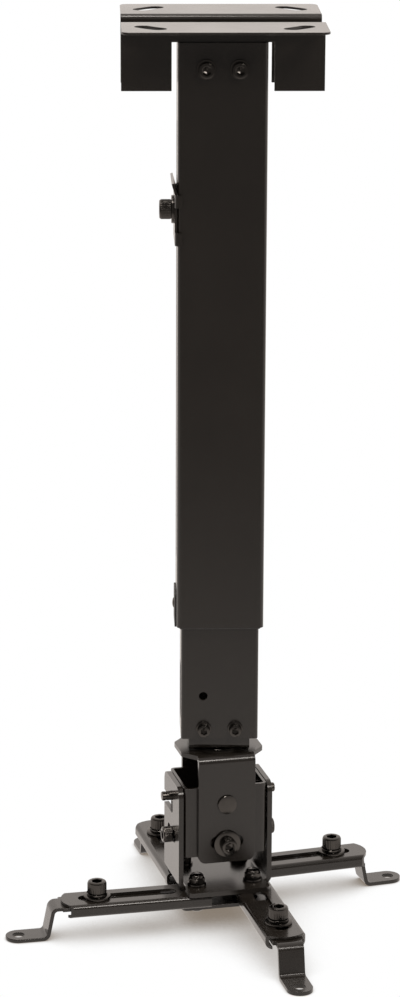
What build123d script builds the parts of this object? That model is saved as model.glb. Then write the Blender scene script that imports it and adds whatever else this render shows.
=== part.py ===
from build123d import *
import os

# Telescopic projector ceiling mount, in millimetres, +Z up, front towards -Y.
# The origin is the middle of the ceiling face, on the axis of the tubes.

# Fits
SLIDE_GAP = 0.2  # between pieces that slide on each other
PIVOT_GAP = 0.08  # radial, round pivots
THREAD_GAP = 0.05  # radial, tapped holes and nuts round their screws
HOLE_GAP = 0.25  # radial, clearance holes and slots round screws
LOCK_GAP = 0.75  # radial, arc slots round the lock bolts

# Screw threads
M4 = 4.0
M5 = 5.0
M6 = 6.0
M8 = 8.0
WASHER_SHEET = 1.4
WASHER_SIZE = 2.36  # across, in screw diameters
THIN_WASHER = 0.8  # under the screws in the tubes
SCREW_TIP = 1.0  # of a screw, out of the back of its tapped hole

# Ceiling brackets
BRACKET_WIDTH = 100.0
BRACKET_SHEET = 1.2
BRACKET_BEND = 1.5
FLANGE_DEPTH = 38.5
FLANGE_CORNER = 4.0
WEB_HEIGHT = 34.0
WING_GAP = 3.0
CEILING_SLOT_RADIUS = 51.0
CEILING_SLOT_WIDTH = 8.0
CEILING_SLOT_ANGLE = 45.0
CEILING_SLOT_SWEEP = 12.0
BRACKET_BOLT_X = 8.2
BRACKET_BOLT_DROP = 23.0

# Tubes
OUTER_WIDTH = 44.4
OUTER_DEPTH = 32.0
OUTER_LENGTH = 300.0
OUTER_CORNER = 2.6
TUBE_WALL = 1.5
TUBE_GAP = 0.8
TUBE_DROP = 10.0
INNER_LENGTH = 290.8
DRAWN_OUT = 60.8
PUSH_IN = 42.0
PULL_OUT = 178.0
WINDOW_HEIGHT = 30.0
WINDOW_DEPTH = 14.0
WINDOW_LIFT = 8.0
SIGHT_HOLE = 4.5
SIGHT_HOLE_X = -8.4
SIGHT_HOLE_LIFT = 23.3

# Plastic guides in the tubes
SLEEVE_HEIGHT = 32.0
GUIDE_HEIGHT = 18.0
GUIDE_TAB_DEPTH = 20.0
GUIDE_TAB_SHEET = 1.0
GUIDE_RIVET = 3.0

# Clamp that holds the drop
CLAMP_BELOW_TOP = 15.3
SADDLE_SHEET = 1.2
SADDLE_BEND = 1.0
SADDLE_HEIGHT = 31.0
SADDLE_EAR_HEIGHT = 6.5
SADDLE_EAR = 2.6
SADDLE_FLARE_HEIGHT = 5.5
SADDLE_FLARE = 1.6

# Insert in the lower end and the swivel
INSERT_WIDTH = 31.4
INSERT_SHEET = 2.0
INSERT_BEND = 1.5
INSERT_HEIGHT = 24.5
INSERT_STEP = 6.7
INSERT_BOLT_X = 8.1
INSERT_BOLT_LIFT = 12.3
SPACER_DIAMETER = 24.0
SPACER_HEIGHT = 1.0

# Yoke
HEAD_YAW = 12.0
YOKE_SHEET = 2.5
YOKE_BEND = 1.5
YOKE_DEPTH = 39.0
YOKE_PLATE_WIDTH = 43.6
YOKE_PLATE_STRAIGHT = 16.0
LEG_WIDTH = 30.2
LEG_HEIGHT = 58.5
LEG_CORNER = 4.0
PIVOT_DROP = 26.5
PIVOT_DIAMETER = 6.0
PIVOT_HEAD = 10.0
PIVOT_HEAD_SHEET = 1.5
LOCK_RADIUS = 21.5
LEAN = 15.0

# Gimbal box
BOX_GAP = 0.3
BOX_WIDTH = 44.0
BOX_SHEET = 1.5
BOX_CORNER = 2.6
BOX_RISE = 9.0
BOX_HEIGHT = 38.0
STUD_DIAMETER = 5.0
STUD_REACH = 5.3
STUD_HEAD = 9.0
STUD_HEAD_SHEET = 1.5

# Cradle
CRADLE_GAP = 0.5
CRADLE_SHEET = 2.5
CRADLE_BEND = 2.0
CRADLE_DEPTH = 33.0
CRADLE_RISE = 9.0
CRADLE_CORNER = 5.5
CRADLE_DROP = 45.0
HOOK_DROP = 6.0
HOOK_HEIGHT = 7.0
BASE_WIDTH = 44.0
BASE_DEPTH = 54.0
BASE_CORNER = 3.0
BOLT_SPACING = 30.0
LOWER_WIDTH = 48.0
LOWER_DEPTH = 44.0
LOWER_SHEET = 2.0
BASE_NUT_HEIGHT = 4.6

# Arms
ARM_WIDTH = 21.0
ARM_HEIGHT = 7.0
ARM_SHEET = 1.5
ARM_BEND = 0.8
ARM_LIP = 3.0
ARM_BACK = 6.0
ARM_REACH = 72.0
ARM_END_RADIUS = 13.0
ARM_SLOT_START = 11.0
ARM_SLOT_FROM_END = 9.0
ARM_SLOT_WIDTH = 7.0

# Feet
FOOT_SHEET = 2.0
FOOT_BEND = 2.0
FOOT_WIDTH = 13.5
FOOT_DROP = 19.5
FOOT_SLANT = 3.2
FOOT_NECK = 6.0
FOOT_TAB_HOLE = 16.0
FOOT_HOLE = 6.0
FOOT_TAIL = 60.0
FOOT_SCREW_FROM_END = 19.0
NEAR_HOLE = 16.5
HOLE_PITCH = 9.0
FAR_HOLE = NEAR_HOLE + HOLE_PITCH
SPRING_SHEET = 1.6

# Arm name, base bolt it turns on, direction, rest swing, foot hole in use
ARMS = (
    ("left", -1, -1, 180.0, -1.4, FAR_HOLE),
    ("front", 1, -1, 270.0, 0.0, FAR_HOLE),
    ("right", 1, 1, 0.0, 4.0, NEAR_HOLE),
    ("rear", -1, 1, 90.0, 0.5, NEAR_HOLE),
)

# Levels and faces that follow from the sizes above
outer_top = -TUBE_DROP
outer_bottom = outer_top - OUTER_LENGTH
inner_bottom = outer_bottom - DRAWN_OUT
inner_top = inner_bottom + INNER_LENGTH
inner_width = OUTER_WIDTH - 2 * (TUBE_WALL + TUBE_GAP)
inner_depth = OUTER_DEPTH - 2 * (TUBE_WALL + TUBE_GAP)
inner_corner = OUTER_CORNER - TUBE_GAP
insert_bottom = inner_bottom - INSERT_STEP
insert_floor = insert_bottom + INSERT_SHEET
yoke_top = insert_bottom - SPACER_HEIGHT
leg_bottom = yoke_top - LEG_HEIGHT
pivot = yoke_top - PIVOT_DROP
box_depth = YOKE_DEPTH - 2 * (YOKE_SHEET + BOX_GAP)
box_bottom = pivot + BOX_RISE - BOX_HEIGHT
cradle_inside = BOX_WIDTH / 2 + CRADLE_GAP
cradle_outside = cradle_inside + CRADLE_SHEET
base_top = pivot - CRADLE_DROP
arm_top = base_top - CRADLE_SHEET
lower_top = arm_top - ARM_HEIGHT
clamp_level = inner_top - CLAMP_BELOW_TOP
bracket_bolt_level = -BRACKET_BOLT_DROP
insert_bolt_level = insert_bottom + INSERT_BOLT_LIFT
web_face = OUTER_DEPTH / 2 - TUBE_WALL
lock_slot = M5 + 2 * LOCK_GAP
arm_slot_end = ARM_REACH - ARM_SLOT_FROM_END
foot_screw_out = ARM_REACH - FOOT_SCREW_FROM_END

# Turns that point a screw's head to one side
TO_FRONT = Rot(90, 0, 0)
TO_REAR = Rot(-90, 0, 0)
TO_LEFT = Rot(0, -90, 0)
TO_RIGHT = Rot(0, 90, 0)
DOWN = Rot(180, 0, 0)

FROM_BELOW = (Align.CENTER, Align.CENTER, Align.MIN)
FROM_ABOVE = (Align.CENTER, Align.CENTER, Align.MAX)


def hexagon(across):
    return RegularPolygon(across / 2, 6, major_radius=False)


def cap_screw(thread, length):
    """Socket head screw whose head stands on z = 0."""
    head = Cylinder(thread * 0.83, thread, align=FROM_BELOW)
    shank = Cylinder(thread / 2, length, align=FROM_ABOVE)
    socket = Pos(0, 0, thread * 0.45) * extrude(hexagon(thread * 0.83), thread)
    return head + shank - socket


def low_screw(thread, length):
    """Flat round-headed screw whose head stands on z = 0."""
    head = Cylinder(thread * 0.95, thread * 0.55, align=FROM_BELOW)
    shank = Cylinder(thread / 2, length, align=FROM_ABOVE)
    socket = Pos(0, 0, thread * 0.25) * extrude(hexagon(thread * 0.62), thread)
    return head + shank - socket


def hex_nut(thread, height):
    """Nut that stands on z = 0."""
    body = extrude(hexagon(thread * 1.66), height)
    return body - Cylinder(thread / 2 + THREAD_GAP, 3 * height)


def ring(across, thread, height):
    """Washer that stands on z = 0."""
    hole = Cylinder(thread / 2 + HOLE_GAP, 3 * height)
    return Cylinder(across / 2, height, align=FROM_BELOW) - hole


def drill(diameter, depth):
    return Cylinder(diameter / 2, depth)


def folded(points, sheet, bend, plane, width):
    """Sheet bent along a line of points in its middle, with the given inside bend radius."""
    path = FilletPolyline(*points, radius=bend + sheet / 2)
    return extrude(plane * trace(path, sheet), amount=width / 2, both=True)


def hollow_bar(width, depth, corner, wall, bottom, top):
    section = RectangleRounded(width, depth, corner)
    section -= RectangleRounded(width - 2 * wall, depth - 2 * wall, corner - wall)
    return Pos(0, 0, bottom) * extrude(section, amount=top - bottom)


def arc_slot(radius, middle, sweep, width):
    arc = CenterArc((0, 0), radius, middle - sweep / 2, sweep)
    return SlotArc(arc, width)


def block(x0, x1, y0, y1, z0, z1):
    return Pos((x0 + x1) / 2, (y0 + y1) / 2, (z0 + z1) / 2) * Box(x1 - x0, y1 - y0, z1 - z0)


def ceiling_bracket():
    """Front bracket; the rear one is the same piece turned half round."""
    web = web_face - BRACKET_SHEET / 2
    points = (
        (-web_face - FLANGE_DEPTH, -BRACKET_SHEET / 2),
        (-web, -BRACKET_SHEET / 2),
        (-web, -WEB_HEIGHT),
    )
    plate = folded(points, BRACKET_SHEET, BRACKET_BEND, Plane.YZ, BRACKET_WIDTH)
    corners = plate.edges().filter_by(Axis.Z).group_by(Axis.Y)[0]
    plate = fillet(corners, FLANGE_CORNER)
    slit_in = OUTER_WIDTH / 2 - OUTER_CORNER
    slit_out = OUTER_WIDTH / 2 + WING_GAP
    for side in (-1, 1):
        low, high = sorted((side * slit_in, side * slit_out))
        plate -= block(low, high, -web_face - 1, 0, -2 * WEB_HEIGHT, outer_top)
        hole = Pos(side * BRACKET_BOLT_X, -web_face, bracket_bolt_level) * TO_FRONT
        plate -= hole * drill(M5 + 2 * THREAD_GAP, 6 * BRACKET_SHEET)
        middle = -90 + side * CEILING_SLOT_ANGLE
        slot = arc_slot(CEILING_SLOT_RADIUS, middle, CEILING_SLOT_SWEEP, CEILING_SLOT_WIDTH)
        plate -= extrude(slot, amount=2 * BRACKET_SHEET, both=True)
    return plate


def outer_tube():
    tube = hollow_bar(OUTER_WIDTH, OUTER_DEPTH, OUTER_CORNER, TUBE_WALL, outer_bottom, outer_top)
    for side in (-1, 1):
        hole = Pos(side * BRACKET_BOLT_X, 0, bracket_bolt_level) * TO_FRONT
        tube -= hole * drill(M5 + 2 * HOLE_GAP, 2 * OUTER_DEPTH)
    slot_width = M6 + 2 * HOLE_GAP
    slot_middle = clamp_level + (PUSH_IN - PULL_OUT) / 2
    slot = SlotOverall(PUSH_IN + PULL_OUT + slot_width, slot_width)
    left_wall = Pos(-OUTER_WIDTH / 2, 0, slot_middle) * TO_LEFT
    tube -= left_wall * extrude(slot, amount=2 * TUBE_WALL, both=True)
    rivet = Pos(-OUTER_WIDTH / 2, 0, outer_bottom + GUIDE_HEIGHT / 2) * TO_LEFT
    return tube - rivet * drill(GUIDE_RIVET, 4 * TUBE_WALL)


def wall_bolts(thread, x, depth, level, grip):
    """Pairs of bolts with thin washers through the front and rear walls of a tube."""
    bolts = []
    washers = []
    length = THIN_WASHER + grip + SCREW_TIP
    for side in (-x, x):
        for turn in (TO_FRONT, TO_REAR):
            wall = Pos(side, 0, level) * turn * Pos(0, 0, depth / 2)
            washers.append(wall * ring(thread * 2, thread, THIN_WASHER))
            bolts.append(wall * Pos(0, 0, THIN_WASHER) * cap_screw(thread, length))
    return bolts, washers


def mouth_guide():
    """Lining of the tube's lower end, with a tab folded up outside the left wall."""
    liner = hollow_bar(
        OUTER_WIDTH - 2 * TUBE_WALL,
        OUTER_DEPTH - 2 * TUBE_WALL,
        OUTER_CORNER - TUBE_WALL,
        TUBE_GAP - SLIDE_GAP,
        outer_bottom - GUIDE_TAB_SHEET,
        outer_bottom + GUIDE_HEIGHT,
    )
    wall = OUTER_WIDTH / 2
    half = GUIDE_TAB_DEPTH / 2
    under = block(
        -wall - GUIDE_TAB_SHEET, -wall + TUBE_WALL, -half, half, outer_bottom - GUIDE_TAB_SHEET, outer_bottom
    )
    tab = block(
        -wall - GUIDE_TAB_SHEET, -wall, -half, half, outer_bottom - GUIDE_TAB_SHEET, outer_bottom + GUIDE_HEIGHT
    )
    tab = fillet(tab.edges().filter_by(Axis.X).group_by(Axis.Z)[-1], half / 2)
    hole = Pos(-wall, 0, outer_bottom + GUIDE_HEIGHT / 2) * TO_LEFT
    return liner + under + tab - hole * drill(GUIDE_RIVET, 4 * TUBE_WALL)


def guide_rivet():
    face = Pos(-OUTER_WIDTH / 2 - GUIDE_TAB_SHEET, 0, outer_bottom + GUIDE_HEIGHT / 2) * TO_LEFT
    head = Cylinder(GUIDE_RIVET * 0.9, GUIDE_TAB_SHEET, align=FROM_BELOW)
    grip = GUIDE_TAB_SHEET + TUBE_WALL + TUBE_GAP - SLIDE_GAP
    return face * (head + Cylinder(GUIDE_RIVET / 2, grip, align=FROM_ABOVE))


def inner_tube():
    tube = hollow_bar(inner_width, inner_depth, inner_corner, TUBE_WALL, inner_bottom, inner_top)
    left_wall = Pos(-inner_width / 2, 0, clamp_level) * TO_LEFT
    tube -= left_wall * drill(M6 + 2 * HOLE_GAP, 4 * TUBE_WALL)
    middle = inner_bottom + WINDOW_LIFT + WINDOW_HEIGHT / 2
    window = Pos(-inner_width / 2, 0, middle) * Box(4 * TUBE_WALL, WINDOW_DEPTH, WINDOW_HEIGHT)
    tube -= fillet(window.edges().filter_by(Axis.X), WINDOW_DEPTH / 4)
    sight = Pos(SIGHT_HOLE_X, -inner_depth / 2, inner_bottom + SIGHT_HOLE_LIFT) * TO_FRONT
    tube -= sight * drill(SIGHT_HOLE, 4 * TUBE_WALL)
    for side in (-1, 1):
        hole = Pos(side * INSERT_BOLT_X, 0, insert_bolt_level) * TO_FRONT
        tube -= hole * drill(M4 + 2 * HOLE_GAP, 2 * inner_depth)
    return tube


def glide_sleeve():
    """Thin plastic sleeve round the top end of the inner tube."""
    wall = TUBE_GAP - SLIDE_GAP
    corner = inner_corner + wall
    sleeve = hollow_bar(
        inner_width + 2 * wall, inner_depth + 2 * wall, corner, wall, inner_top - SLEEVE_HEIGHT, inner_top
    )
    hole = Pos(-inner_width / 2, 0, clamp_level) * TO_LEFT
    return sleeve - hole * drill(M6 + 2 * HOLE_GAP, 4 * TUBE_WALL)


def clamp_saddle():
    """Plate on the tube's left wall; its ears lap the front and rear faces and its top flares out."""
    inside_x = OUTER_WIDTH / 2 + SLIDE_GAP
    inside_y = OUTER_DEPTH / 2 + SLIDE_GAP
    x = inside_x + SADDLE_SHEET / 2
    y = inside_y + SADDLE_SHEET / 2
    half = SADDLE_HEIGHT / 2
    shoulder = half - SADDLE_FLARE_HEIGHT
    points = ((-x, -half), (-x, shoulder), (-x - SADDLE_FLARE, half))
    plate = folded(points, SADDLE_SHEET, SADDLE_BEND, Plane.XZ, 2 * (inside_y - SADDLE_BEND))
    ear_end = -inside_x + SADDLE_EAR
    points = ((ear_end, -y), (-x, -y), (-x, y), (ear_end, y))
    ears = folded(points, SADDLE_SHEET, SADDLE_BEND, Plane.XY, SADDLE_EAR_HEIGHT)
    for level in (-half + SADDLE_EAR_HEIGHT / 2, shoulder - SADDLE_EAR_HEIGHT / 2):
        plate += Pos(0, 0, level) * ears
    plate -= Pos(-x, 0, 0) * TO_LEFT * drill(M6 + 2 * HOLE_GAP, 4 * SADDLE_SHEET)
    return Pos(0, 0, clamp_level) * plate


clamp_seat = OUTER_WIDTH / 2 + SLIDE_GAP + SADDLE_SHEET


def clamp_bolt():
    length = WASHER_SHEET + clamp_seat - inner_width / 2 + TUBE_WALL + M6
    return Pos(-clamp_seat - WASHER_SHEET, 0, clamp_level) * TO_LEFT * cap_screw(M6, length)


def clamp_washer():
    return Pos(-clamp_seat, 0, clamp_level) * TO_LEFT * ring(M6 * WASHER_SIZE, M6, WASHER_SHEET)


def clamp_nut():
    return Pos(-inner_width / 2 + TUBE_WALL, 0, clamp_level) * TO_RIGHT * hex_nut(M6, M6 * 0.8)


def tube_insert():
    """U plate that closes the lower end of the inner tube and carries the swivel."""
    y = inner_depth / 2 - TUBE_WALL - INSERT_SHEET / 2
    low = insert_bottom + INSERT_SHEET / 2
    top = insert_bottom + INSERT_HEIGHT
    points = ((-y, top), (-y, low), (y, low), (y, top))
    plate = folded(points, INSERT_SHEET, INSERT_BEND, Plane.YZ, INSERT_WIDTH)
    for side in (-1, 1):
        hole = Pos(side * INSERT_BOLT_X, 0, insert_bolt_level) * TO_FRONT
        plate -= hole * drill(M4 + 2 * THREAD_GAP, 2 * inner_depth)
    return plate - Pos(0, 0, insert_bottom) * drill(M8 + 2 * PIVOT_GAP, 4 * INSERT_SHEET)


def swivel_spacer():
    bore = drill(M8 + 2 * PIVOT_GAP, 4 * SPACER_HEIGHT)
    return Pos(0, 0, yoke_top) * (Cylinder(SPACER_DIAMETER / 2, SPACER_HEIGHT, align=FROM_BELOW) - bore)


def swivel_bolt():
    """Hexagon bolt from below, through yoke, spacer and insert."""
    head = extrude(hexagon(M8 * 1.62), M8 * 0.65)
    length = YOKE_SHEET + SPACER_HEIGHT + INSERT_SHEET + M8
    shank = Cylinder(M8 / 2, length, align=FROM_ABOVE)
    return Pos(0, 0, yoke_top - YOKE_SHEET) * DOWN * (head + shank)


def swivel_nut():
    return Pos(0, 0, insert_floor) * hex_nut(M8, M8 * 0.8)


def yoke():
    """Swivel plate with a leg bent down at the front and at the rear."""
    y = YOKE_DEPTH / 2 - YOKE_SHEET / 2
    top = yoke_top - YOKE_SHEET / 2
    points = ((-y, leg_bottom), (-y, top), (y, top), (y, leg_bottom))
    body = folded(points, YOKE_SHEET, YOKE_BEND, Plane.YZ, LEG_WIDTH)
    body = fillet(body.edges().filter_by(Axis.Y).group_by(Axis.Z)[0], LEG_CORNER)
    wide = YOKE_PLATE_WIDTH / 2
    straight = YOKE_PLATE_STRAIGHT / 2
    flat = YOKE_DEPTH / 2 - YOKE_SHEET - YOKE_BEND
    outline = Polyline(
        (wide, -straight),
        (wide, straight),
        (LEG_WIDTH / 2, flat),
        (-LEG_WIDTH / 2, flat),
        (-wide, straight),
        (-wide, -straight),
        (-LEG_WIDTH / 2, -flat),
        (LEG_WIDTH / 2, -flat),
        close=True,
    )
    plate = Pos(0, 0, yoke_top - YOKE_SHEET) * extrude(make_face(outline), amount=YOKE_SHEET)
    tips = plate.edges().filter_by(Axis.Z).filter_by_position(Axis.Y, -straight, straight)
    body += fillet(tips, YOKE_SHEET)
    body -= Pos(0, 0, pivot) * TO_FRONT * drill(PIVOT_DIAMETER + 2 * PIVOT_GAP, 2 * YOKE_DEPTH)
    slot = arc_slot(LOCK_RADIUS, -90, 2 * LEAN, lock_slot)
    body -= Pos(0, 0, pivot) * TO_FRONT * extrude(slot, amount=YOKE_DEPTH, both=True)
    return body - Pos(0, 0, yoke_top) * drill(M8 + 2 * PIVOT_GAP, 4 * YOKE_SHEET)


def gimbal_box():
    """Ring of bent strip; it leans in the yoke and carries the studs of the cradle."""
    body = hollow_bar(BOX_WIDTH, box_depth, BOX_CORNER, BOX_SHEET, box_bottom, box_bottom + BOX_HEIGHT)
    body -= Pos(0, 0, pivot) * TO_FRONT * drill(PIVOT_DIAMETER, 2 * box_depth)
    body -= Pos(0, 0, pivot) * TO_LEFT * drill(STUD_DIAMETER, 2 * BOX_WIDTH)
    for turn in (TO_FRONT, TO_LEFT):
        body -= Pos(0, 0, pivot - LOCK_RADIUS) * turn * drill(M5 + 2 * THREAD_GAP, 2 * BOX_WIDTH)
    return body


def pivot_rivets():
    """Rivets tight in the gimbal box, headed on both sides, that turn in the legs of the yoke."""
    grip = YOKE_DEPTH / 2 - box_depth / 2 + BOX_SHEET
    head = Cylinder(PIVOT_HEAD / 2, PIVOT_HEAD_SHEET, align=FROM_BELOW)
    shank = Cylinder(PIVOT_DIAMETER / 2, grip, align=FROM_ABOVE)
    tail = Pos(0, 0, -grip - PIVOT_HEAD_SHEET) * head
    rivet = Pos(0, 0, YOKE_DEPTH / 2) * (head + shank + tail)
    return [Pos(0, 0, pivot) * turn * rivet for turn in (TO_FRONT, TO_REAR)]


def lock_bolts(turns, seat, wall):
    """Lock bolts and their nuts on two opposite sides of the gimbal box."""
    bolts = []
    nuts = []
    length = seat - wall + BOX_SHEET + M5
    for turn in turns:
        centre = Pos(0, 0, pivot - LOCK_RADIUS) * turn
        bolts.append(centre * Pos(0, 0, seat) * cap_screw(M5, length))
        nuts.append(centre * Pos(0, 0, wall - BOX_SHEET) * DOWN * hex_nut(M5, M5 * 0.8))
    return bolts, nuts


def roll_lock_washers():
    washer = Pos(0, 0, YOKE_DEPTH / 2) * ring(M6 * WASHER_SIZE, M5, WASHER_SHEET)
    return [Pos(0, 0, pivot - LOCK_RADIUS) * turn * washer for turn in (TO_FRONT, TO_REAR)]


def tilt_studs():
    inside = BOX_WIDTH / 2 - BOX_SHEET
    head = Cylinder(STUD_HEAD / 2, STUD_HEAD_SHEET, align=FROM_ABOVE)
    length = cradle_outside - inside + STUD_REACH
    shank = Cylinder(STUD_DIAMETER / 2, length, align=FROM_BELOW)
    stud = Pos(0, 0, inside) * (head + shank)
    return [Pos(0, 0, pivot) * turn * stud for turn in (TO_LEFT, TO_RIGHT)]


def cradle():
    """U plate that hooks over the studs from the rear and carries the arms."""
    x = cradle_inside + CRADLE_SHEET / 2
    top = pivot + CRADLE_RISE
    low = base_top - CRADLE_SHEET / 2
    points = ((-x, top), (-x, low), (x, low), (x, top))
    body = folded(points, CRADLE_SHEET, CRADLE_BEND, Plane.XZ, CRADLE_DEPTH)
    body = fillet(body.edges().filter_by(Axis.X).group_by(Axis.Z)[-1], CRADLE_CORNER)
    base = RectangleRounded(BASE_WIDTH, BASE_DEPTH, BASE_CORNER)
    body += Pos(0, 0, arm_top) * extrude(base, amount=CRADLE_SHEET)
    pocket = STUD_DIAMETER / 2 + PIVOT_GAP
    middle = -HOOK_DROP / 2
    hook = Circle(pocket)
    hook += Pos(0, middle) * Rectangle(2 * pocket, HOOK_DROP)
    entry = RectangleRounded(2 * CRADLE_DEPTH, HOOK_HEIGHT, pocket)
    hook += Pos(CRADLE_DEPTH - pocket, -HOOK_DROP) * entry
    body -= Pos(0, 0, pivot) * extrude(Plane.YZ * hook, amount=2 * x, both=True)
    slot = arc_slot(LOCK_RADIUS, -90, 2 * LEAN, lock_slot)
    body -= Pos(0, 0, pivot) * extrude(Plane.YZ * slot, amount=2 * x, both=True)
    for spot in GridLocations(BOLT_SPACING, BOLT_SPACING, 2, 2):
        body -= Pos(0, 0, arm_top) * spot * drill(M5 + 2 * HOLE_GAP, 4 * CRADLE_SHEET)
    return body


def lower_plate():
    plate = extrude(RectangleRounded(LOWER_WIDTH, LOWER_DEPTH, BASE_CORNER), amount=LOWER_SHEET)
    for spot in GridLocations(BOLT_SPACING, BOLT_SPACING, 2, 2):
        plate -= spot * drill(M5 + 2 * HOLE_GAP, 4 * LOWER_SHEET)
    return Pos(0, 0, lower_top - LOWER_SHEET) * plate


def base_fasteners():
    """Bolts from below with washers and lock nuts on the cradle's base."""
    bolts = []
    washers = []
    nuts = []
    stack = LOWER_SHEET + ARM_HEIGHT + CRADLE_SHEET
    length = stack + WASHER_SHEET + BASE_NUT_HEIGHT
    for spot in GridLocations(BOLT_SPACING, BOLT_SPACING, 2, 2):
        bolts.append(Pos(0, 0, lower_top - LOWER_SHEET) * spot * DOWN * low_screw(M5, length))
        washers.append(Pos(0, 0, base_top) * spot * ring(M5 * 2, M5, WASHER_SHEET))
        nuts.append(Pos(0, 0, base_top + WASHER_SHEET) * spot * hex_nut(M5, BASE_NUT_HEIGHT))
    return bolts, washers, nuts


def arm():
    """Lipped channel along +X with its pivot at the origin and its top face on z = 0."""
    wall = ARM_WIDTH / 2 - ARM_SHEET / 2
    lip = ARM_WIDTH / 2 - ARM_LIP
    low = -ARM_HEIGHT + ARM_SHEET / 2
    high = -ARM_SHEET / 2
    points = ((-lip, low), (-wall, low), (-wall, high), (wall, high), (wall, low), (lip, low))
    middle = (ARM_REACH - ARM_BACK) / 2
    body = Pos(middle, 0, 0) * folded(points, ARM_SHEET, ARM_BEND, Plane.YZ, ARM_REACH + ARM_BACK)
    end = ARM_REACH - ARM_END_RADIUS
    beyond = block(end, 2 * ARM_REACH, -ARM_WIDTH, ARM_WIDTH, -2 * ARM_HEIGHT, ARM_HEIGHT)
    beyond -= Pos(end, 0, 0) * Cylinder(ARM_END_RADIUS, 6 * ARM_HEIGHT)
    body -= beyond
    slot = SlotOverall(arm_slot_end - ARM_SLOT_START, ARM_SLOT_WIDTH)
    along = (ARM_SLOT_START + arm_slot_end) / 2
    body -= Pos(along, 0, 0) * extrude(slot, amount=2 * ARM_HEIGHT, both=True)
    return body - drill(M5 + 2 * HOLE_GAP, 4 * ARM_HEIGHT)


def foot():
    """Strip along +X, leg at the origin, its top sliding under the arm's top face."""
    high = -ARM_SHEET - SLIDE_GAP - FOOT_SHEET / 2
    low = -FOOT_DROP + FOOT_SHEET / 2
    half = FOOT_WIDTH / 2
    tip = FOOT_TAB_HOLE + half
    points = ((-FOOT_TAIL, high), (-FOOT_SLANT / 2, high), (FOOT_SLANT / 2, low), (tip, low))
    channel = ARM_WIDTH - 2 * (ARM_SHEET + ARM_BEND)
    strip = folded(points, FOOT_SHEET, FOOT_BEND, Plane.XZ, channel)
    wide = FOOT_TAIL - FOOT_NECK
    outline = Pos(-FOOT_NECK - wide / 2, 0) * Rectangle(wide, channel)
    narrow = FOOT_NECK + FOOT_TAB_HOLE
    outline += Pos(FOOT_TAB_HOLE - narrow / 2, 0) * Rectangle(narrow, FOOT_WIDTH)
    outline += Pos(FOOT_TAB_HOLE, 0) * Circle(half)
    strip &= extrude(outline, amount=2 * FOOT_DROP, both=True)
    for along in (-NEAR_HOLE, -FAR_HOLE, -FAR_HOLE - HOLE_PITCH):
        strip -= Pos(along, 0, high) * drill(M6 + 2 * THREAD_GAP, 2 * FOOT_SHEET)
    return strip - Pos(FOOT_TAB_HOLE, 0, low) * drill(FOOT_HOLE, 4 * FOOT_SHEET)


def spider():
    """The four arms, each with its foot, foot screw and washers, at their rest swings."""
    pieces = {}
    seat = WASHER_SHEET + SPRING_SHEET
    length = seat + ARM_SHEET + SLIDE_GAP + FOOT_SHEET + SCREW_TIP
    for name, x_side, y_side, direction, swing, hole in ARMS:
        corner = Pos(x_side * BOLT_SPACING / 2, y_side * BOLT_SPACING / 2, arm_top)
        place = corner * Rot(0, 0, direction + swing)
        screw = place * Pos(foot_screw_out, 0, 0)
        pieces["arm_" + name] = place * arm()
        pieces["foot_" + name] = screw * Pos(hole, 0, 0) * foot()
        pieces["foot_screw_" + name] = screw * Pos(0, 0, seat) * cap_screw(M6, length)
        flat = screw * ring(M6 * WASHER_SIZE, M6, WASHER_SHEET)
        spring = screw * Pos(0, 0, WASHER_SHEET) * ring(M6 * 1.8, M6, SPRING_SHEET)
        pieces["foot_washers_" + name] = [flat, spring]
    return pieces


bracket_grip = TUBE_WALL + BRACKET_SHEET
bracket_bolts, bracket_washers = wall_bolts(M5, BRACKET_BOLT_X, OUTER_DEPTH, bracket_bolt_level, bracket_grip)
insert_grip = TUBE_WALL + INSERT_SHEET
insert_bolts, insert_washers = wall_bolts(M4, INSERT_BOLT_X, inner_depth, insert_bolt_level, insert_grip)

fixed = {
    "ceiling_bracket_front": ceiling_bracket(),
    "ceiling_bracket_rear": Rot(0, 0, 180) * ceiling_bracket(),
    "outer_tube": outer_tube(),
    "bracket_bolts": bracket_bolts,
    "bracket_washers": bracket_washers,
    "mouth_guide": mouth_guide(),
    "guide_rivet": guide_rivet(),
    "inner_tube": inner_tube(),
    "glide_sleeve": glide_sleeve(),
    "clamp_saddle": clamp_saddle(),
    "clamp_bolt": clamp_bolt(),
    "clamp_washer": clamp_washer(),
    "clamp_nut": clamp_nut(),
    "tube_insert": tube_insert(),
    "insert_bolts": insert_bolts,
    "insert_washers": insert_washers,
    "swivel_spacer": swivel_spacer(),
}

roll_bolts, roll_nuts = lock_bolts((TO_FRONT, TO_REAR), YOKE_DEPTH / 2 + WASHER_SHEET, box_depth / 2)
tilt_bolts, tilt_nuts = lock_bolts((TO_LEFT, TO_RIGHT), cradle_outside, BOX_WIDTH / 2)
base_bolts, base_washers, base_nuts = base_fasteners()

turned = {
    "yoke": yoke(),
    "swivel_bolt": swivel_bolt(),
    "swivel_nut": swivel_nut(),
    "gimbal_box": gimbal_box(),
    "pivot_rivets": pivot_rivets(),
    "roll_lock_bolts": roll_bolts,
    "roll_lock_washers": roll_lock_washers(),
    "roll_lock_nuts": roll_nuts,
    "tilt_studs": tilt_studs(),
    "tilt_lock_bolts": tilt_bolts,
    "tilt_lock_nuts": tilt_nuts,
    "cradle": cradle(),
    "lower_plate": lower_plate(),
    "base_bolts": base_bolts,
    "base_washers": base_washers,
    "base_nuts": base_nuts,
    **spider(),
}

os.makedirs("parts", exist_ok=True)
for turn, pieces in ((Rot(0, 0, 0), fixed), (Rot(0, 0, HEAD_YAW), turned)):
    for name, piece in pieces.items():
        if isinstance(piece, list):
            piece = Compound(piece)
        export_step(turn * piece, "parts/" + name + ".step")
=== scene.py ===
import bpy
from math import cos, pi, radians, sin
from mathutils import Matrix, Vector


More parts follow.
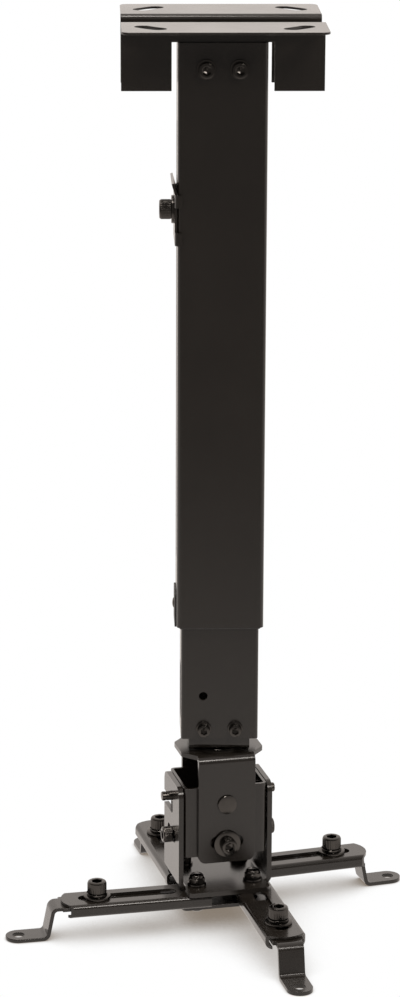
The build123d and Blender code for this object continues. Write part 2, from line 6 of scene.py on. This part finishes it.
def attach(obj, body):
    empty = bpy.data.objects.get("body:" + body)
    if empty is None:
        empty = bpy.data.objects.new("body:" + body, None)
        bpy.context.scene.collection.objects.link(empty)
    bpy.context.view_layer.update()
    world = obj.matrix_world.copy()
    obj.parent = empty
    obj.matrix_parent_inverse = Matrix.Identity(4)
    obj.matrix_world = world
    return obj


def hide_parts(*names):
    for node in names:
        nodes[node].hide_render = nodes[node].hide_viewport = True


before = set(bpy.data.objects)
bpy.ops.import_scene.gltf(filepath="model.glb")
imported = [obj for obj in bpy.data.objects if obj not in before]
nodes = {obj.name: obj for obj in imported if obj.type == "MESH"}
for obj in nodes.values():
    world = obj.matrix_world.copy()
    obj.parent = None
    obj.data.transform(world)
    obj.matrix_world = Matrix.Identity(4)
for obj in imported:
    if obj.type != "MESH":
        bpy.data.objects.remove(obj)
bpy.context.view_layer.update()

# Ceiling brackets
# Two L plates of thin mild steel, blanked and bent. Arc slots in the flanges
# take the ceiling screws, and a tongue on each goes down inside the tube.


def linear(hex_colour):
    """An sRGB hex colour as linear values, with full alpha."""
    values = [int(hex_colour[i:i + 2], 16) / 255 for i in (1, 3, 5)]
    return [v / 12.92 if v <= 0.04045 else ((v + 0.055) / 1.055) ** 2.4 for v in values] + [1.0]


def add_node(tree, kind, values, links, **settings):
    """Adds a node with its settings, its sockets' values and its links."""
    made = tree.nodes.new(kind)
    for name, value in settings.items():
        setattr(made, name, value)
    for name, value in values.items():
        made.inputs[name].default_value = value
    for name, (source, output) in links.items():
        tree.links.new(source.outputs[output], made.inputs[name])
    return made


def start_material(name):
    """A new material and its emptied node tree."""
    made = bpy.data.materials.new(name)
    made.use_nodes = True
    made.node_tree.nodes.clear()
    return made, made.node_tree


# Polyester powder coat, sprayed and baked on steel: satin black, with the faint
# orange peel that the melted powder leaves, a slightly uneven sheen and a thin
# resin skin that mirrors more sharply at a glance along the metal.
peel_mm = 0.8  # really about 0.5 mm across; drawn coarser so that it shows
cloud_mm = 35
powder_coat, tree = start_material("satin_black_powder_coat")
place = add_node(tree, "ShaderNodeTexCoord", {}, {})
peel = add_node(tree, "ShaderNodeTexNoise", {"Scale": 1000 / peel_mm, "Detail": 2.0}, {"Vector": (place, "Object")})
cloud = add_node(tree, "ShaderNodeTexNoise", {"Scale": 1000 / cloud_mm, "Detail": 3.0}, {"Vector": (place, "Object")})
tint = add_node(tree, "ShaderNodeMix", {"A": linear("#1d1a17"), "B": linear("#24201c")},
                {"Factor": (cloud, "Fac")}, data_type="RGBA")
sheen = add_node(tree, "ShaderNodeMapRange", {"From Min": 0.3, "From Max": 0.7, "To Min": 0.2, "To Max": 0.26},
                 {"Value": (cloud, "Fac")})
bump = add_node(tree, "ShaderNodeBump", {"Strength": 0.05, "Distance": 0.0001}, {"Height": (peel, "Fac")})
coat = add_node(tree, "ShaderNodeBsdfPrincipled", {"IOR": 1.36, "Coat Weight": 0.5, "Coat Roughness": 0.18},
                {"Base Color": (tint, "Result"), "Roughness": (sheen, "Result"), "Normal": (bump, "Normal"),
                 "Coat Normal": (bump, "Normal")})
add_node(tree, "ShaderNodeOutputMaterial", {}, {"Surface": (coat, "BSDF")})


def coat_sheet(name, edge_mm, material):
    """A bent sheet's cut edges, rounded a little by deburring and by the coat."""
    sheet = nodes[name]
    sheet.data.materials.clear()
    sheet.data.materials.append(material)
    weld = sheet.modifiers.new("weld", "WELD")
    weld.merge_threshold = 0.000002
    flat = sheet.modifiers.new("flat", "DECIMATE")
    flat.decimate_type = "DISSOLVE"
    flat.angle_limit = radians(0.5)
    edge = sheet.modifiers.new("edge", "BEVEL")
    edge.width = edge_mm / 1000
    edge.segments = 2
    edge.limit_method = "ANGLE"
    edge.angle_limit = radians(40)
    edge.use_clamp_overlap = True
    even = sheet.modifiers.new("even", "WEIGHTED_NORMAL")
    even.keep_sharp = False
    return sheet


for name in ("ceiling_bracket_front", "ceiling_bracket_rear"):
    coat_sheet(name, 0.4, powder_coat)

# Outer tube
# Rectangular welded steel tube with 1.5 mm walls, powder coated. Its left wall
# has the long slot that the clamp bolt runs in.
coat_sheet("outer_tube", 0.5, powder_coat)

# Bracket bolts
# Socket screws of black oxide steel with thin washers, two at the front and two at
# the rear, screwed through the tube into the tongues of the brackets.
outer_face = 16.0  # the outer tube's front and rear, from its axis
bracket_bolt_x = 8.2
bracket_bolt_level = -23.0
thin_washer = 0.8

# Black oxide on steel: a thin dark conversion layer, oiled, with a sharper shine
# than the powder coat and brown-grey where it catches the light.
stain_mm = 2.5
black_oxide, tree = start_material("black_oxide_steel")
place = add_node(tree, "ShaderNodeTexCoord", {}, {})
stain = add_node(tree, "ShaderNodeTexNoise", {"Scale": 1000 / stain_mm, "Detail": 3.0}, {"Vector": (place, "Object")})
tint = add_node(tree, "ShaderNodeMix", {"A": linear("#444240"), "B": linear("#54514e")},
                {"Factor": (stain, "Fac")}, data_type="RGBA")
sheen = add_node(tree, "ShaderNodeMapRange", {"From Min": 0.3, "From Max": 0.7, "To Min": 0.12, "To Max": 0.2},
                 {"Value": (stain, "Fac")})
steel = add_node(tree, "ShaderNodeBsdfPrincipled", {"Metallic": 1.0},
                 {"Base Color": (tint, "Result"), "Roughness": (sheen, "Result")})
add_node(tree, "ShaderNodeOutputMaterial", {}, {"Surface": (steel, "BSDF")})


def black_piece(name, points_mm, faces):
    """A black oxide piece, smooth but for edges of more than 32 degrees."""
    mesh = bpy.data.meshes.new(name)
    mesh.from_pydata([(x / 1000, y / 1000, z / 1000) for x, y, z in points_mm], [], faces)
    mesh.shade_smooth()
    mesh.set_sharp_from_angle(angle=radians(32))
    mesh.materials.append(black_oxide)
    piece = bpy.data.objects.new(name, mesh)
    bpy.context.scene.collection.objects.link(piece)
    return piece


def turned(name, rows, sides, ring=False):
    """A piece turned about Z; each row has a height and a radius in mm, which may depend on the angle."""
    points = []
    for height, radius in rows:
        for i in range(sides):
            angle = 2 * pi * i / sides
            reach = radius(angle) if callable(radius) else radius
            points.append((reach * cos(angle), reach * sin(angle), height))
    faces = []
    for row in range(len(rows) if ring else len(rows) - 1):
        after = (row + 1) % len(rows)
        for i in range(sides):
            j = (i + 1) % sides
            faces.append((row * sides + i, row * sides + j, after * sides + j, after * sides + i))
    if not ring:
        faces.append(tuple(reversed(range(sides))))
        faces.append(tuple(range((len(rows) - 1) * sides, len(rows) * sides)))
    return black_piece(name, points, faces)


def set_on(piece, spot_mm, towards, body, *stands_for):
    """Puts a turned piece at a spot with its +Z pointing one way, on a body."""
    turn = Vector(towards).to_track_quat("Z", "Y").to_matrix().to_4x4()
    piece.matrix_world = Matrix.Translation(Vector(spot_mm) / 1000) @ turn
    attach(piece, body)
    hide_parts(*stands_for)


def hexagon(across):
    """The radius of a hexagon at an angle, from its width across the flats."""
    return lambda angle: across / 2 / cos((angle + pi / 6) % (pi / 3) - pi / 6)


def thread(radius, length, pitch):
    """Rows of a screw thread below z = 0, from its tip up."""
    depth = pitch * 0.3
    rows = [(-length, radius * 0.75)]
    steps = int(length / pitch * 4)
    for step in range(1, steps):
        height = -length + length * step / steps

        def groove(angle, height=height):
            turn = (height / pitch - angle / (2 * pi)) % 1.0
            return radius - depth * abs(2 * turn - 1)

        rows.append((height, groove))
    return rows + [(0, radius)]


def cap_screw(name, size, length):
    """Socket screw whose knurled head, as high as its thread is thick, stands on z = 0."""
    socket = hexagon(size * 0.83)

    def knurl(angle):
        return size * (0.83 - 0.035 * abs(sin(18 * angle)))

    rows = thread(size / 2, length, size / 6)
    rows += [(0, size * 0.78), (size * 0.04, size * 0.81), (size * 0.08, knurl), (size * 0.82, knurl)]
    rows += [(size * 0.88, size * 0.81), (size * 0.96, size * 0.77), (size, size * 0.7)]
    rows += [(size, lambda a: socket(a) + size * 0.05), (size * 0.96, socket), (size * 0.48, socket)]
    # The drill's point, under the socket, is what glints.
    rows += [(size * 0.28, size * 0.05)]
    return turned(name, rows, 108)


def flat_washer(name, bore, radius, height):
    """Stamped washer on z = 0, rounded at the edge that the punch left on top."""
    rows = [(0, bore), (0, radius - 0.15), (0.15, radius), (height - 0.3, radius), (height - 0.1, radius - 0.1),
            (height, radius - 0.35), (height, bore + 0.1), (height - 0.1, bore)]
    return turned(name, rows, 64, ring=True)


for label, side, towards in (("front_left", -1, -1), ("front_right", 1, -1), ("rear_left", -1, 1),
                             ("rear_right", 1, 1)):
    x = side * bracket_bolt_x
    washer = flat_washer("bracket_washer_" + label, 2.75, 5.0, thin_washer)
    set_on(washer, (x, towards * outer_face, bracket_bolt_level), (0, towards, 0), "column", "bracket_washers")
    bolt = cap_screw("bracket_bolt_" + label, 5.0, 4.5)
    set_on(bolt, (x, towards * (outer_face + thin_washer), bracket_bolt_level), (0, towards, 0), "column",
           "bracket_bolts")

# Mouth guide
# One moulding of black nylon that lines the tube's lower end, with a tab folded
# up over the left wall and a small rivet through it.
guide_tab_face = 23.2
guide_rivet_level = -301.0

# Nylon, injection moulded: matt black with a fine spark-eroded mould texture.
grain_mm = 0.4
nylon, tree = start_material("moulded_black_nylon")
place = add_node(tree, "ShaderNodeTexCoord", {}, {})
grain = add_node(tree, "ShaderNodeTexNoise", {"Scale": 1000 / grain_mm, "Detail": 1.0}, {"Vector": (place, "Object")})
bump = add_node(tree, "ShaderNodeBump", {"Strength": 0.15, "Distance": 0.00005}, {"Height": (grain, "Fac")})
tint = add_node(tree, "ShaderNodeMix", {"A": linear("#353332"), "B": linear("#3f3d3b")},
                {"Factor": (grain, "Fac")}, data_type="RGBA")
plastic = add_node(tree, "ShaderNodeBsdfPrincipled", {"IOR": 1.53, "Roughness": 0.5},
                   {"Base Color": (tint, "Result"), "Normal": (bump, "Normal")})
add_node(tree, "ShaderNodeOutputMaterial", {}, {"Surface": (plastic, "BSDF")})
coat_sheet("mouth_guide", 0.2, nylon)

rows = [(-3.1, 1.5), (0, 1.5), (0, 2.7), (0.25, 2.65), (0.6, 2.2), (0.85, 1.4), (1.0, 0.4)]
rivet = turned("mouth_guide_rivet", rows, 32)
set_on(rivet, (-guide_tab_face, 0, guide_rivet_level), (-1, 0, 0), "column", "guide_rivet")

# Inner tube
# Rectangular steel tube that slides in the outer one, powder coated, with a cable
# window low in its left wall. A thin nylon sleeve round its top end guides it.
coat_sheet("inner_tube", 0.5, powder_coat)
coat_sheet("glide_sleeve", 0.15, nylon)

# Clamp
# A thin plate on the outer tube's left wall, with bent ears that keep it straight.
# One socket screw goes through it and the tube's slot into a nut in the inner tube.
clamp_level = -95.3
saddle_face = 23.6
inner_wall_inside = 18.4
washer_sheet = 1.4
coat_sheet("clamp_saddle", 0.3, powder_coat)
set_on(flat_washer("clamp_washer_ring", 3.25, 7.08, washer_sheet), (-saddle_face, 0, clamp_level), (-1, 0, 0),
       "drop_tube", "clamp_washer")
set_on(cap_screw("clamp_screw", 6.0, 12.6), (-saddle_face - washer_sheet, 0, clamp_level), (-1, 0, 0),
       "drop_tube", "clamp_bolt")


def plain_nut(name, size, across, height):
    """Hexagon nut on z = 0, with both ends' corners turned off."""
    side = hexagon(across)
    bore = size / 2 + 0.05

    def eased(angle):
        return min(side(angle), across * 0.535)

    rows = [(0, bore), (0, across * 0.49), (0.3, eased), (0.5, side), (height - 0.5, side), (height - 0.3, eased),
            (height, across * 0.49), (height, bore + 0.3), (height - 0.3, bore), (0.3, bore)]
    return turned(name, rows, 72, ring=True)


set_on(plain_nut("clamp_hex_nut", 6.0, 9.96, 4.8), (-inner_wall_inside, 0, clamp_level), (1, 0, 0),
       "drop_tube", "clamp_nut")

# Tube insert
# A U plate of 2 mm steel in the lower end of the inner tube, held by small socket
# screws with washers front and rear; its floor carries the swivel.
inner_face = 13.7  # the inner tube's front and rear, from its axis
insert_bolt_x = 8.1
insert_bolt_level = -365.2
coat_sheet("tube_insert", 0.3, powder_coat)
for label, side, towards in (("front_left", -1, -1), ("front_right", 1, -1), ("rear_left", -1, 1),
                             ("rear_right", 1, 1)):
    x = side * insert_bolt_x
    washer = flat_washer("insert_washer_" + label, 2.25, 4.0, thin_washer)
    set_on(washer, (x, towards * inner_face, insert_bolt_level), (0, towards, 0), "drop_tube", "insert_washers")
    bolt = cap_screw("insert_bolt_" + label, 4.0, 5.3)
    set_on(bolt, (x, towards * (inner_face + thin_washer), insert_bolt_level), (0, towards, 0), "drop_tube",
           "insert_bolts")

# Swivel
# A hexagon bolt comes up through the yoke, a broad steel washer and the insert's
# floor, and a nut inside the tube holds it.
yoke_underside = -381.0
yoke_top = -378.5
insert_floor_top = -375.5
rows = [(0, 4.08), (0, 11.95), (0.05, 12.0), (0.95, 12.0), (1.0, 11.95), (1.0, 4.2), (0.9, 4.08)]
spacer = turned("swivel_spacer_ring", rows, 72, ring=True)
set_on(spacer, (0, 0, yoke_top), (0, 0, 1), "drop_tube", "swivel_spacer")

bolt_side = hexagon(12.96)
rows = thread(4.0, 13.5, 1.25)
rows += [(0, 6.3), (0.3, lambda a: min(bolt_side(a), 7.1)), (0.6, bolt_side), (4.6, bolt_side),
         (4.9, lambda a: min(bolt_side(a), 7.1)), (5.2, 6.2)]
set_on(turned("swivel_hex_bolt", rows, 72), (0, 0, yoke_underside), (0, 0, -1), "yoke", "swivel_bolt")
set_on(plain_nut("swivel_hex_nut", 8.0, 13.28, 6.4), (0, 0, insert_floor_top), (0, 0, 1), "yoke", "swivel_nut")

# Yoke
# A plate of 2.5 mm steel with a leg bent down at front and rear. A rivet in each leg
# is the pivot for leaning, and the arc slot below it takes the lock bolt.
coat_sheet("yoke", 0.5, powder_coat)

# Gimbal box
# A ring of folded 1.5 mm strip between the yoke's legs, on two pivot rivets. Lock
# bolts clamp it to the yoke and the cradle, and two riveted studs carry the cradle.
head_turn = Matrix.Rotation(radians(12), 3, "Z")
pivot_height = Vector((0, 0, -405))
lock_height = Vector((0, 0, -426.5))
leg_face = 19.5  # the yoke's legs, outside
cradle_face = 25.0  # the cradle's walls, outside
box_inside_front = 15.2
box_inside_left = 20.5
film_mm = 0.03  # what turns or slides against a sheet stands off it by the film between them
coat_sheet("gimbal_box", 0.4, powder_coat)
for label, towards in (("front", (0, -1, 0)), ("rear", (0, 1, 0))):
    away = head_turn @ Vector(towards)
    rows = [(-5.8, 3.6), (-5.6, 4.5), (-5.1, 5.0), (-4.3, 5.0), (-4.3, 3.0), (film_mm, 3.0), (film_mm, 4.9), (0.2, 5.0),
            (1.05, 5.0), (1.22, 4.85), (1.34, 4.0), (1.44, 2.6), (1.49, 1.2)]
    rivet = turned("pivot_rivet_" + label, rows, 64)
    set_on(rivet, away * leg_face + pivot_height, away, "gimbal", "pivot_rivets")

for label, towards in (("front", (0, -1, 0)), ("rear", (0, 1, 0)), ("left", (-1, 0, 0)), ("right", (1, 0, 0))):
    away = head_turn @ Vector(towards)
    if label in ("front", "rear"):
        kind = "roll_lock_"
        inside = box_inside_front
        seat = leg_face + film_mm + washer_sheet
        washer = flat_washer(kind + "washer_" + label, 2.75, 7.08, washer_sheet)
        set_on(washer, away * (seat - washer_sheet) + lock_height, away, "gimbal", kind + "washers")
    else:
        kind = "tilt_lock_"
        inside = box_inside_left
        seat = cradle_face + film_mm
    screw = cap_screw(kind + "screw_" + label, 5.0, seat - inside + 5)
    set_on(screw, away * seat + lock_height, away, "gimbal", kind + "bolts")
    nut = plain_nut(kind + "nut_" + label, 5.0, 8.3, 4.0)
    set_on(nut, away * inside + lock_height, -away, "gimbal", kind + "nuts")

for label, towards in (("left", (-1, 0, 0)), ("right", (1, 0, 0))):
    away = head_turn @ Vector(towards)
    rows = [(-1.5, 4.2), (-1.2, 4.5), (0, 4.5), (0, 2.5), (5.1, 2.5), (5.1, 2.42), (7.5, 2.42), (7.6, 2.2), (8.0, 2.2),
            (8.1, 2.42), (9.4, 2.42), (9.8, 2.1)]
    stud = turned("tilt_stud_" + label, rows, 48)
    set_on(stud, away * box_inside_left + pivot_height, away, "gimbal", "tilt_studs")

# Cradle
# A U plate of 2.5 mm steel that hooks over the studs from the rear. The arms are
# held between its base and a lower plate by bolts from below with lock nuts on top.
base_bolt_out = 15  # from the head's axis, each way
base_top = Vector((0, 0, -450))
base_washer_top = Vector((0, 0, -448.6))
lower_plate_underside = Vector((0, 0, -461.5))
coat_sheet("cradle", 0.5, powder_coat)
coat_sheet("lower_plate", 0.3, powder_coat)


def button_screw(name, size, length):
    """Domed head on z = 0, r 0.95 and height 0.55 of the size, with a hexagon socket."""
    socket = hexagon(size * 0.6)
    rows = thread(size / 2, length, size * 0.16)
    rows += [(0, size * 0.93), (size * 0.02, size * 0.95), (size * 0.12, size * 0.95)]
    rows += [(size * 0.26, size * 0.88), (size * 0.38, size * 0.76), (size * 0.47, size * 0.61)]
    rows += [(size * 0.53, size * 0.46), (size * 0.55, size * 0.4)]
    rows += [(size * 0.55, lambda a: socket(a) + size * 0.02), (size * 0.52, socket), (size * 0.22, socket)]
    rows += [(size * 0.16, size * 0.04)]
    return turned(name, rows, 72)


def lock_nut(name):
    """Hexagon lock nut with a rounded collar, 4.6 mm high on z = 0."""
    side = hexagon(8.3)

    def eased(angle):
        return min(side(angle), 4.4)

    rows = [(0, 2.55), (0, 4.05), (0.25, eased), (0.45, side), (2.7, side), (2.95, eased), (3.1, 4.0), (3.25, 3.75),
            (4.0, 3.65), (4.4, 3.4), (4.6, 3.0), (4.6, 2.7), (4.4, 2.55)]
    return turned(name, rows, 72, ring=True)


for label, x, y in (("front_left", -1, -1), ("front_right", 1, -1), ("rear_right", 1, 1), ("rear_left", -1, 1)):
    spot = head_turn @ Vector((x * base_bolt_out, y * base_bolt_out, 0))
    bolt = button_screw("base_bolt_" + label, 5.0, 17.5)
    set_on(bolt, spot + lower_plate_underside, (0, 0, -1), "cradle", "base_bolts")
    washer = flat_washer("base_washer_" + label, 2.75, 5.0, washer_sheet)
    set_on(washer, spot + base_top, (0, 0, 1), "cradle", "base_washers")
    set_on(lock_nut("base_nut_" + label), spot + base_washer_top, (0, 0, 1), "cradle", "base_nuts")

# Arms
# Four lipped channels roll-formed from 1.5 mm steel, with a long slot for the foot
# screw. Each swings on its own base bolt, with the same film between it and the plates.
for name in ("left", "front", "right", "rear"):
    arm = coat_sheet("arm_" + name, 0.3, powder_coat)
    film = arm.modifiers.new("film", "DISPLACE")
    film.mid_level = 0.0
    film.strength = -film_mm / 1000
    arm.modifiers.move(4, 3)

# Feet
# Four bent strips of 2 mm steel whose tops slide under the arms. A socket screw with
# a spring washer and a flat washer clamps each one, and its tab takes the projector's screw.
foot_screw_out = 53  # along the arm, from its base bolt
arm_top = -452.5
spring_height = 1.6
for name in ("left", "front", "right", "rear"):
    coat_sheet("foot_" + name, 0.35, powder_coat)


def spring_washer(name):
    """Split ring of square wire on z = 0, its ends sprung 0.4 mm apart."""
    spread = 0.4
    wire = spring_height - spread
    section = ((3.3, 0.0), (5.3, 0.0), (5.4, 0.1), (5.4, wire - 0.1), (5.3, wire), (3.3, wire))
    corners = len(section)
    steps = 60
    points = []
    faces = []
    for step in range(steps + 1):
        angle = radians(6 + 348 * step / steps)
        for radius, height in section:
            points.append((radius * cos(angle), radius * sin(angle), height + spread * step / steps))
    for step in range(steps):
        start = step * corners
        for i in range(corners):
            j = (i + 1) % corners
            faces.append((start + i, start + j, start + corners + j, start + corners + i))
    faces.append(tuple(reversed(range(corners))))
    faces.append(tuple(range(steps * corners, (steps + 1) * corners)))
    return black_piece(name, points, faces)


for name, x, y, direction in (("left", -1, -1, 178.6), ("front", 1, -1, 270), ("right", 1, 1, 4),
                              ("rear", -1, 1, 90.5)):
    along = Vector((cos(radians(direction)), sin(radians(direction)), 0))
    spot = head_turn @ (Vector((x * base_bolt_out, y * base_bolt_out, 0)) + foot_screw_out * along)
    spot.z = arm_top + film_mm
    body = "foot_" + name
    flat = flat_washer("foot_flat_washer_" + name, 3.25, 7.08, washer_sheet)
    set_on(flat, spot, (0, 0, 1), body, "foot_washers_" + name)
    spot.z += washer_sheet
    set_on(spring_washer("foot_spring_washer_" + name), spot, (0, 0, 1), body, "foot_washers_" + name)
    spot.z += spring_height
    set_on(cap_screw("foot_cap_screw_" + name, 6.0, 7.7), spot, (0, 0, 1), body, "foot_screw_" + name)

# Studio
# A pale floor and a white room that is darker in front and on the left, with soft
# lamps above, in front and behind, so that the black steel is drawn by its edges.
floor_level = -0.4721  # 0.1 mm under the feet
floor_mesh = bpy.data.meshes.new("studio_floor")
floor_mesh.from_pydata([(-1.5, -1.5, floor_level), (1.5, -1.5, floor_level), (1.5, 2.5, floor_level),
                        (-1.5, 2.5, floor_level)], [], [(0, 1, 2, 3)])
studio_floor = bpy.data.objects.new("studio_floor", floor_mesh)
bpy.context.scene.collection.objects.link(studio_floor)
# White paper, matt to the light. The camera sees the white room through it, darkened by
# the soft shadow of what is near, so a head let down below it still shows. What glossy
# pieces mirror of it is darker towards the front.
paper, tree = start_material("white_paper_sweep")
place = add_node(tree, "ShaderNodeTexCoord", {}, {})
split = add_node(tree, "ShaderNodeSeparateXYZ", {}, {"Vector": (place, "Object")})
front = add_node(tree, "ShaderNodeMapRange", {"From Min": -0.95, "From Max": -0.1, "To Min": 0.2, "To Max": 0.93},
                 {"Value": (split, "Y")})
near = add_node(tree, "ShaderNodeAmbientOcclusion", {"Distance": 0.06}, {})
open_sky = add_node(tree, "ShaderNodeMapRange", {"From Min": 0.15, "From Max": 0.8}, {"Value": (near, "AO")})
shade = add_node(tree, "ShaderNodeMix", {"A": linear("#857a6e"), "B": linear("#ffffff")},
                 {"Factor": (open_sky, "Result")}, data_type="RGBA")
path = add_node(tree, "ShaderNodeLightPath", {}, {})
below = add_node(tree, "ShaderNodeNewGeometry", {}, {})
through = add_node(tree, "ShaderNodeMath", {}, {0: (path, "Is Camera Ray"), 1: (below, "Backfacing")},
                   operation="MAXIMUM")
matt = add_node(tree, "ShaderNodeBsdfDiffuse", {"Color": linear("#edf1f6")}, {})
glow = add_node(tree, "ShaderNodeEmission", {"Color": linear("#fff6ef")}, {"Strength": (front, "Result")})
clear = add_node(tree, "ShaderNodeBsdfTransparent", {}, {"Color": (shade, "Result")})
lit = add_node(tree, "ShaderNodeMixShader", {},
               {"Fac": (path, "Is Glossy Ray"), 1: (matt, "BSDF"), 2: (glow, "Emission")})
sweep = add_node(tree, "ShaderNodeMixShader", {},
                 {"Fac": (through, "Value"), 1: (lit, "Shader"), 2: (clear, "BSDF")})
add_node(tree, "ShaderNodeOutputMaterial", {}, {"Surface": (sweep, "Shader")})
floor_mesh.materials.append(paper)

room = bpy.data.worlds.new("white_studio")
bpy.context.scene.world = room
room.use_nodes = True
tree = room.node_tree
tree.nodes.clear()
look = add_node(tree, "ShaderNodeTexCoord", {}, {})
split = add_node(tree, "ShaderNodeSeparateXYZ", {}, {"Vector": (look, "Generated")})
behind = add_node(tree, "ShaderNodeMath", {1: 0.3}, {0: (split, "X"), 2: (split, "Y")}, operation="MULTIPLY_ADD")
wall = add_node(tree, "ShaderNodeMapRange", {"From Min": -0.5, "From Max": 0.35, "To Min": 0.2, "To Max": 0.95},
                {"Value": (behind, "Value")})
path = add_node(tree, "ShaderNodeLightPath", {}, {})
glow = add_node(tree, "ShaderNodeBackground", {"Color": linear("#fff6ef")}, {"Strength": (wall, "Result")})
white = add_node(tree, "ShaderNodeBackground", {"Color": linear("#ffffff"), "Strength": 1.0}, {})
pick = add_node(tree, "ShaderNodeMixShader", {},
                {"Fac": (path, "Is Camera Ray"), 1: (glow, "Background"), 2: (white, "Background")})
add_node(tree, "ShaderNodeOutputWorld", {}, {"Surface": (pick, "Shader")})

lit_point = Vector((0, 0, -0.25))
for name, watts, wide, high, spot in (("top_softbox", 12, 0.6, 0.4, (-0.25, -0.45, 1.25)),
                                      ("front_softbox", 9, 0.42, 0.42, (0.55, -1.3, 0.9)),
                                      ("rear_softbox", 0.6, 2.2, 0.8, (0.0, 1.7, 0.3))):
    lamp = bpy.data.lights.new(name, "AREA")
    lamp.shape = "RECTANGLE"
    lamp.size = wide
    lamp.size_y = high
    lamp.energy = watts
    lamp.color = linear("#fff8f1")[:3]
    softbox = bpy.data.objects.new(name, lamp)
    softbox.location = spot
    softbox.rotation_euler = (lit_point - Vector(spot)).to_track_quat("-Z", "Y").to_euler()
    softbox.visible_camera = False
    bpy.context.scene.collection.objects.link(softbox)

eye = bpy.data.cameras.new("photo_camera")
eye.lens = 121.1
eye.sensor_width = 36
camera = bpy.data.objects.new("photo_camera", eye)
camera.location = (-0.06274, -1.64935, 0.22005)
camera.rotation_euler = (1.29587, -0.0038, -0.03086)
bpy.context.scene.collection.objects.link(camera)
bpy.context.scene.camera = camera
bpy.context.scene.view_settings.view_transform = "Standard"
